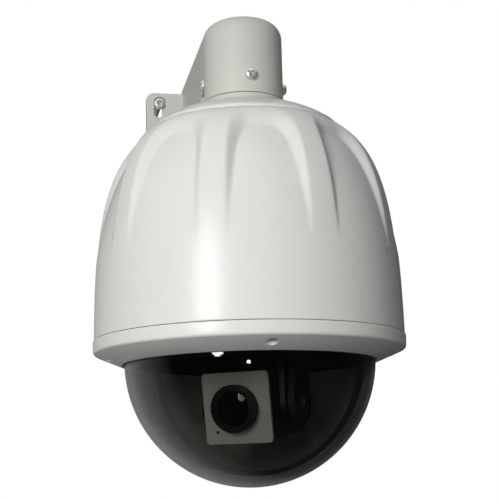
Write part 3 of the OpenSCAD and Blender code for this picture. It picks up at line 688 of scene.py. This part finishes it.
def make_fasteners():
    """Cross-recess screws of the collar and ring, and socket-head bolts in the wall plate."""
    collar, ring, wall = screw_places()
    head = pan_head(4.3, 3.4, 2.4, 8.5)
    make_screws("collar_pan_screws", "collar_screws", collar, head, cross_recess(5.8, 1.6, -3.4))
    head = pan_head(3.8, 2.9, 2, 26)
    make_screws("ring_pan_screws", "ring_screws", ring, head, cross_recess(4.2, 1.3, -2.9))
    bolt = [(0, -4), (3.5, -4), (4.1, -3.7), (4.25, -3.2), (4.25, -0.9), (4.1, -0.7), (4.75, -0.7), (4.75, 0)]
    bolt += [(2.6, 0), (2.6, 4.2)] + thread(2.5, 4.4, 33) + [(2.0, 34), (0, 34)]
    make_screws("wall_socket_bolts", "wall_bolts", wall, bolt, hex_recess(3.6, 2.2, -4))


# Neck ------------------------------------------------------------------------------------------

NECK_BORE_R = 20


def make_neck():
    """Turned flange between the collar and the crown."""
    low, high = (round((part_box("neck_spigot")[i][2] - DOME_CENTRE.z) / MM, 3) for i in (0, 1))
    flange_r = size_of("neck_spigot").x / 2 / MM
    step = COLLAR_LOW - 0.6
    outline = [(NECK_BORE_R, high), (NECK_BORE_R, low), (flange_r - 1.0, low)]
    outline += arc((flange_r - 0.8, low + 0.8), 0.8, -90, 0, 5)
    outline += arc((flange_r - 1.0, step - 1.0), 1.0, 0, 90, 5)
    outline += [(COLLAR_R - 4.2, step), (COLLAR_R - 4.2, high)]
    neck = turned("neck_turned_flange", outline, BRACKET_PAINT, AT_BRACKET)
    own(neck, "root", "neck_spigot", slot="bracket_paint")


# Camera module ---------------------------------------------------------------------------------

LENS_R = 16
LENS_FRONT = 32.5  # the bezel's face ahead of the tilt axis
GLASS_DISH = 40
LINER_TURN = 174
LINER_TILT = -3
LINER_RIM_Y = 10  # how far the liner's open edge lies behind the pan axis


def make_lens():
    """Barrel, stepped bezel and domed front glass, all turned about the optical axis."""
    at_lens = AT_CAMERA @ shift(0, -LENS_FRONT, 0) @ SCREW_UPRIGHT
    barrel = [(LENS_R - 2, 1.5), (LENS_R - 0.2, 1.5), (LENS_R, 1.8), (LENS_R, 4.4), (LENS_R - 0.4, 4.7)]
    barrel += [(LENS_R - 0.4, 5.1), (LENS_R, 5.4), (LENS_R, 35.5), (LENS_R - 2, 35.5)]
    barrel_piece = turned("lens_barrel_turned", barrel, LENS_ENAMEL, at_lens)
    own(barrel_piece, "tilt", "lens_barrel", slot="black_plastic")
    bezel = [(LENS_R + 0.1, 1.5), (LENS_R + 0.4, 1.2)]
    bezel += arc((LENS_R - 0.1, 0.5), 0.5, 0, -90, 5)
    bezel += [(LENS_R - 1.6, 0), (LENS_R - 1.8, 0.35), (LENS_R - 2.4, 0.35), (LENS_R - 2.6, 0.7)]
    bezel += [(LENS_R - 3.2, 0.7), (LENS_R - 3.4, 1.05), (LENS_R - 4, 1.05), (LENS_R - 4, 1.5)]
    bezel_piece = turned("lens_bezel_stepped", bezel, LENS_ENAMEL, at_lens)
    own(bezel_piece, "tilt", "lens_bezel", slot="black_plastic")
    glass_r = LENS_R - 2
    sag = GLASS_DISH - math.sqrt(GLASS_DISH**2 - glass_r**2)
    rim_angle = math.degrees(math.asin(glass_r / GLASS_DISH)) - 90
    glass = [(0, 3.0), (glass_r, 3.0)]
    glass += arc((0, 1.5 + GLASS_DISH - sag * 0.55), GLASS_DISH, rim_angle, -90, 12)
    glass_piece = turned("front_glass_domed", glass, LENS_GLASS, at_lens)
    own(glass_piece, "tilt", "front_lens", slot="lens_glass")


def make_liner_trim():
    """Rubber channel pushed over the liner's open edge."""
    rim_r = math.sqrt((size_of("shield_ring").x / 2 / MM - 0.5) ** 2 - LINER_RIM_Y**2)
    section = [(-2.2, -1.6), (0.5, -1.6), (0.9, -1.2), (0.9, 0.6), (-2.6, 0.6), (-2.6, -1.2)]
    bm = bmesh.new()
    verts = [bm.verts.new((-(rim_r + out) * MM, (LINER_RIM_Y + y) * MM, 0)) for out, y in section]
    edges = [bm.edges.new(pair) for pair in zip(verts, verts[1:] + verts[:1])]
    face = bmesh.ops.contextual_create(bm, geom=edges)["faces"]
    bmesh.ops.transform(bm, matrix=Matrix.Rotation(math.radians(LINER_TILT), 4, "Y"), verts=verts)
    bmesh.ops.spin(
        bm,
        geom=verts + edges + face,
        cent=(0, 0, 0),
        axis=(0, 1, 0),
        angle=-math.radians(LINER_TURN),
        steps=90,
        use_duplicate=False,
    )
    # The trim takes the shield's dead black, which holds painted shade.
    trim = sharpen(to_object(bm, "liner_edge_trim", SHIELD_BLACK_PAINTED_SHADE, AT_PAN), 50)
    own(trim, "pan", slot="black_plastic")


def make_camera_module():
    make_lens()
    make_liner_trim()
    softened("front_plate", 0.5, FRONT_PLATE_PAINT, "front_plate_grey")
    softened("yoke_left", 0.5, CHASSIS_BLACK, "chassis_steel")
    softened("yoke_right", 0.5, CHASSIS_BLACK, "chassis_steel")
    softened("tilt_motor_bracket", 0.4, CHASSIS_BLACK, "chassis_steel")
    softened("camera_case", 0.6, CASE_PLASTIC, "camera_case_grey")
    softened("rear_cover", 0.4, CASE_PLASTIC, "camera_case_grey")


# Bell housing ----------------------------------------------------------------------------------

BELL_R = 110.3  # the bell's side is a squarish arch of this radius, height and power
BELL_H = 206
BELL_POWER = 3.9
BELL_MID_Z = -30
BELL_LOW_Z = 15.6
DISC_R = 69.5
DISC_LOW_Z = 166
CROWN_Z = 184.5
PETALS = 9
PETAL_HALF = 15.3
PETAL_LOW_Z = 68
PETAL_DEEP_Z = 148
PETAL_ARCH_Z = 130
PETAL_TOP_Z = 165.4
PETAL_DEPTH = 7.4
PETAL_WALL = 8
PETAL_SQUARE = 3.5  # how square the petal's arch is, 2 is an ellipse
PETAL_EASE = 4  # how much wider the wall grows towards the arch
CROWN_EDGE = 3.2
CROWN_BORE_R = 20
CROWN_CURVE = ((62, 173.6), (56, 176.8), (49.5, 179.7), (43, 182), (36.5, 183.7), (31, CROWN_Z))
HOUSING_WALL = 3
GASKET_R = 109.35
SKIRT_Z = 14.45


def bell_radius(z):
    return BELL_R * (1 - ((z - BELL_MID_Z) / BELL_H) ** BELL_POWER) ** (1 / BELL_POWER)


def smooth_step(t):
    t = min(max(t, 0), 1)
    return t * t * (3 - 2 * t)


def petal_dip(angle, z):
    """Depth in millimetres of the petals' scoops at an angle in degrees from a petal's middle."""
    if z < PETAL_LOW_Z or z > PETAL_TOP_Z:
        return 0
    up = max(0, (z - PETAL_ARCH_Z) / (PETAL_TOP_Z - PETAL_ARCH_Z))
    across = abs(angle) / PETAL_HALF
    inside = 1 - (across**PETAL_SQUARE + up**PETAL_SQUARE) ** (1 / PETAL_SQUARE)
    from_edge = inside * bell_radius(z) * math.radians(PETAL_HALF)
    full = PETAL_DEPTH * min(1, (z - PETAL_LOW_Z) / (PETAL_DEEP_Z - PETAL_LOW_Z)) ** 1.2
    wall = PETAL_WALL * (0.3 + 0.7 * full / PETAL_DEPTH) + PETAL_EASE * smooth_step((z - 125) / 35)
    t = min(max(from_edge / wall, 0), 1)
    return full * (0.6 * t + 0.4 * smooth_step(t))


def make_housing():
    """Bell, its petal-shaped scoops and the crown, in one closed skin."""
    side = [BELL_LOW_Z + (DISC_LOW_Z - BELL_LOW_Z) * i / 110 for i in range(111)]
    outer = [(bell_radius(z), z) for z in side]
    cap = [(DISC_R - 1.2, DISC_LOW_Z - 0.6), (DISC_R, DISC_LOW_Z), (DISC_R, DISC_LOW_Z + 0.6)]
    cap += arc((DISC_R - CROWN_EDGE, DISC_LOW_Z + 0.8), CROWN_EDGE, 0, 62, 6)
    cap += [*CROWN_CURVE, (CROWN_BORE_R, CROWN_Z)]
    inner = [(CROWN_BORE_R, 178), (40, 175)]
    for z in range(150, 10, -10):
        inner.append((bell_radius(z) - HOUSING_WALL - PETAL_DEPTH * smooth_step((z - 60) / 70), z))
    inner += [(BELL_R - HOUSING_WALL, BELL_LOW_Z), (GASKET_R, BELL_LOW_Z), (GASKET_R, SKIRT_Z)]
    inner += [(bell_radius(SKIRT_Z) - 0.25, SKIRT_Z), (bell_radius(SKIRT_Z) - 0.02, SKIRT_Z + 0.3)]
    bm = bmesh.new()
    steps = PETALS * 60
    spin_outline(bm, outer + cap + inner, steps)
    for v in bm.verts:
        z = v.co.z / MM
        r = math.hypot(v.co.x, v.co.y) / MM
        if z > DISC_LOW_Z - 0.3 or r < bell_radius(min(z, DISC_LOW_Z)) - 0.5:
            continue
        angle = math.degrees(math.atan2(v.co.x, -v.co.y))
        off = (angle + 180 / PETALS) % (360 / PETALS) - 180 / PETALS
        shrink = 1 - petal_dip(off, z) / r
        v.co.x *= shrink
        v.co.y *= shrink
    bell = sharpen(to_object(bm, "bell_housing", HOUSING_PAINT, AT_HOUSING), 50)
    return own(bell, "root", "upper_housing", "crown_cap", slot="housing_paint")


# Trim ring -------------------------------------------------------------------------------------

RING_TOP_Z = 14
BAND_LOW_Z = 5.1
LIP_Z = -3
LIP_R = DOME_R + 0.6
SEAT_R = DOME_R + 7.6
RING_SCREW_AT = SEAT_R + 4.9
RING_SCREW_Z = 4.6
RING_BORE_R = 4.2


def make_trim_ring():
    """Cast ring that clamps the dome, with a bore for each ring screw."""
    outline = [(SEAT_R, RING_TOP_Z)]
    outline += arc((RING_R - 0.8, RING_TOP_Z - 0.8), 0.8, 90, 0, 5)
    outline += [(RING_R - 0.05, BAND_LOW_Z + 3.6)]
    outline += arc((RING_R - 2.6, BAND_LOW_Z + 1.6), 2.4, 0, -66, 8)
    outline += arc((LIP_R + 1.6, LIP_Z + 1.2), 1.2, -68, -180, 6)
    outline += [(LIP_R, 4), (SEAT_R, 4)]
    bm = bmesh.new()
    spin_outline(bm, outline, 240)
    ring = sharpen(to_object(bm, "trim_ring_cast", HOUSING_PAINT, AT_HOUSING), 40)
    bores = bmesh.new()
    for i in range(4):
        spot = Matrix.Rotation(i * math.tau / 4, 4, "Z") @ shift(0, -RING_SCREW_AT, 0.5)
        add_cone(bores, RING_BORE_R, RING_BORE_R, 12, 40, spot)
    combine(ring, bores, AT_HOUSING)
    return own(ring, "root", "trim_ring", slot="housing_paint")


# Dome ------------------------------------------------------------------------------------------

DOME_WALL = 2.5
FLANGE_Z = 4
FLANGE_R = DOME_R + 6.5


def make_dome():
    """Clear bubble of even wall with its clamped flange."""
    inner_r = DOME_R - DOME_WALL
    outline = arc((0, 0), DOME_R, -89.9, 0, 60)
    outline += [(DOME_R, FLANGE_Z), (FLANGE_R, FLANGE_Z), (FLANGE_R, FLANGE_Z + 3), (inner_r, FLANGE_Z + 3)]
    outline += arc((0, 0), inner_r, 0, -89.9, 60)
    bm = bmesh.new()
    spin_outline(bm, outline, 180)
    dome = sharpen(to_object(bm, "dome_bubble_polished", DOME_ACRYLIC, AT_HOUSING), 50)
    return own(dome, "root", "dome_bubble", slot="smoked_acrylic")


# Studio ----------------------------------------------------------------------------------------

VIEW_TURN = math.radians(-11)  # the viewer stands this far round from the bracket's front
VIEW_DISTANCE = 810.5
VIEW_DROP = -82.0
VIEW_PITCH = math.radians(11.3)
VIEW_AIM = math.radians(0.14)
VIEW_ROLL = math.radians(1.42)
VIEW_LENS = 81.98
FLOOR_Z = -1.5  # metres, well below, so that the turned views aren't cut
FLOOR_GREY = (0.22, 0.22, 0.22, 1)
BEHIND_DOME = 0.04  # backdrop's strength when it is seen through the smoked skins
ROOM_GLOW = 0.14
MIRROR_WAYS = ((-0.8, 0.7, -0.3), (0, 0, 2))  # where mirrors find light: behind at the left, and above
MIRROR_EDGE = 0.6
MIRROR_FULL = 1.02
MIRROR_DARK = 0.02
MIRROR_BRIGHT = 0.42
KEY_TURN = -27.5  # degrees round from the viewer, to the left


def make_camera():
    """Long lens, a little below the dome's height, looking slightly up."""
    data = bpy.data.cameras.new("viewer")
    data.lens = VIEW_LENS
    data.sensor_width = 36
    cam = bpy.data.objects.new("viewer", data)
    bpy.context.scene.collection.objects.link(cam)
    turn = Matrix.Rotation(VIEW_TURN, 4, "Z")
    cam.location = DOME_CENTRE + turn @ Vector((0, -VIEW_DISTANCE * MM, VIEW_DROP * MM))
    cam.rotation_euler = (
        turn
        @ Matrix.Rotation(-VIEW_AIM, 4, "Z")
        @ Matrix.Rotation(math.pi / 2 + VIEW_PITCH, 4, "X")
        @ Matrix.Rotation(-VIEW_ROLL, 4, "Z")
    ).to_euler()
    bpy.context.scene.camera = cam


def soft_box(name, azimuth, elevation, distance, width, height, power):
    """Oval area light aimed at the dome; azimuth 0 is the bracket's front, positive to its right."""
    data = bpy.data.lights.new(name, "AREA")
    data.shape = "ELLIPSE"
    data.size = width
    data.size_y = height
    data.energy = power
    light = bpy.data.objects.new(name, data)
    a, e = math.radians(azimuth), math.radians(elevation)
    away = Vector((math.sin(a) * math.cos(e), -math.cos(a) * math.cos(e), math.sin(e)))
    light.location = DOME_CENTRE + away * distance
    light.rotation_euler = away.to_track_quat("Z", "Y").to_euler()
    bpy.context.scene.collection.objects.link(light)
    return light


def light_paths(owner):
    """1 where a viewer's ray meets the backdrop with nothing smoked before it, less behind the dome."""
    path = node(owner, "ShaderNodeLightPath")
    behind = node(
        owner,
        "ShaderNodeMapRange",
        {"From Min": 0.0, "From Max": 1.0, "To Min": 1.0, "To Max": BEHIND_DOME},
        [("Value", path, "Transparent Depth")],
    )
    return path, behind


def make_floor():
    """White to the viewer, pale paper to the light, and not there in mirrors or from below."""
    bm = bmesh.new()
    bmesh.ops.create_grid(bm, x_segments=1, y_segments=1, size=6)
    bmesh.ops.translate(bm, verts=bm.verts, vec=(0, 0, FLOOR_Z))
    m = new_material("studio_floor")
    path, behind = light_paths(m)
    shine = node(m, "ShaderNodeEmission", {"Color": (1, 1, 1, 1)}, [("Strength", behind, "Result")])
    paper = node(m, "ShaderNodeBsdfDiffuse", {"Color": FLOOR_GREY})
    seen = node(m, "ShaderNodeMixShader", links=[(0, path, "Is Camera Ray"), (1, paper, 0), (2, shine, 0)])
    face = node(m, "ShaderNodeNewGeometry")
    largest = {"operation": "MAXIMUM"}
    hidden = node(m, "ShaderNodeMath", largest, [(0, face, "Backfacing"), (1, path, "Is Glossy Ray")])
    clear = node(m, "ShaderNodeBsdfTransparent")
    floor = node(m, "ShaderNodeMixShader", links=[(0, hidden, 0), (1, seen, 0), (2, clear, 0)])
    to_object(bm, "studio_floor", finish_material(m, floor), smooth=False)


def make_world():
    """White to the viewer, a dim even glow on the object, and in mirrors bright at the left and above."""
    world = bpy.data.worlds.new("studio")
    bpy.context.scene.world = world
    world.use_nodes = True
    world.node_tree.nodes.clear()
    path, behind = light_paths(world)
    place = node(world, "ShaderNodeTexCoord")
    turn = Matrix.Rotation(VIEW_TURN, 3, "Z")
    ways = [
        node(
            world,
            "ShaderNodeVectorMath",
            {"operation": "DOT_PRODUCT", 1: turn @ Vector(way)},
            [(0, place, "Generated")],
        )
        for way in MIRROR_WAYS
    ]
    largest = {"operation": "MAXIMUM"}
    side = node(world, "ShaderNodeMath", largest, [(0, ways[0], "Value"), (1, ways[1], "Value")])
    rise = node(
        world,
        "ShaderNodeMapRange",
        {
            "clamp": False,
            "From Min": MIRROR_EDGE,
            "From Max": MIRROR_FULL,
            "To Min": MIRROR_DARK,
            "To Max": MIRROR_BRIGHT,
        },
        [("Value", side, "Value")],
    )
    mirror = node(world, "ShaderNodeMath", {**largest, 1: MIRROR_DARK}, [(0, rise, "Result")])
    unseen = node(
        world,
        "ShaderNodeMix",
        {"data_type": "FLOAT", "A": ROOM_GLOW},
        [("Factor", path, "Is Glossy Ray"), ("B", mirror, "Value")],
    )
    seen = node(
        world,
        "ShaderNodeMix",
        {"data_type": "FLOAT"},
        [("Factor", path, "Is Camera Ray"), ("A", unseen, "Result"), ("B", behind, "Result")],
    )
    glow = node(world, "ShaderNodeBackground", {"Color": (1, 1, 1, 1)}, [("Strength", seen, "Result")])
    node(world, "ShaderNodeOutputWorld", links=[("Surface", glow, "Background")])


def make_studio():
    """Tall key at the left, broad fills that mirrors don't see, and a small flash by the viewer."""
    make_floor()
    make_world()
    turn = math.degrees(VIEW_TURN)
    soft_box("key_light", turn + KEY_TURN, 11, 1.6, 0.44, 0.7, 15)
    for fill in (
        soft_box("front_fill", turn, -3, 1.4, 1.2, 1.2, 5),
        soft_box("back_fill", turn + 180, 10, 1.8, 1.0, 1.0, 10),
    ):
        fill.visible_glossy = False
    soft_box("flash", turn - 1, -7, 0.83, 0.035, 0.035, 0.25)


# Finishes of the CAD pieces --------------------------------------------------------------------

FINISHES = {
    "bracket_paint": BRACKET_PAINT,
    "housing_paint": HOUSING_PAINT,
    "zinc_steel": SCREW_STEEL,
    "seal_rubber": SEAL_RUBBER,
    "smoked_acrylic": DOME_ACRYLIC,
    "black_plastic": BLACK_PLASTIC,
    "chassis_steel": SHEET_STEEL,
    "motor_black": MOTOR_ENAMEL,
    "bearing_steel": BEARING_STEEL,
    "pulley_plastic": PULLEY_ACETAL,
    "belt_rubber": BELT_RUBBER,
    "circuit_board": BOARD,
    "brass": BRASS,
    "terminal_plastic": TERMINAL_PLASTIC,
    "board_parts": PART_RESIN,
    "heater_aluminium": ALUMINIUM,
    "camera_case_grey": CASE_PLASTIC,
    "front_plate_grey": FRONT_PLATE_PAINT,
    "lens_glass": LENS_GLASS,
}
OWN_FINISHES = {
    "liner": LINER_PLASTIC,
    # The shield ring and pan platter take the dead black that holds painted shade under the ring's lip.
    "shield_ring": SHIELD_BLACK_PAINTED_SHADE,
    "tilt_pulley": MOTOR_ENAMEL,
    "pan_platter": SHIELD_BLACK_PAINTED_SHADE,
}


def finish_cad_nodes():
    """Gives each CAD piece the finish of its slot, or its own."""
    slots = {s["node"]: s["material_slot"] for s in frame["record"]["subparts"]}
    for name, obj in frame["nodes"].items():
        obj.data.materials.clear()
        obj.data.materials.append(OWN_FINISHES.get(name, FINISHES[slots[name]]))


finish_cad_nodes()
make_bracket()
make_neck()
make_housing()
make_trim_ring()
make_fasteners()
make_dome()
make_camera_module()
make_studio()
make_camera()
bpy.context.scene.view_settings.view_transform = "Standard"
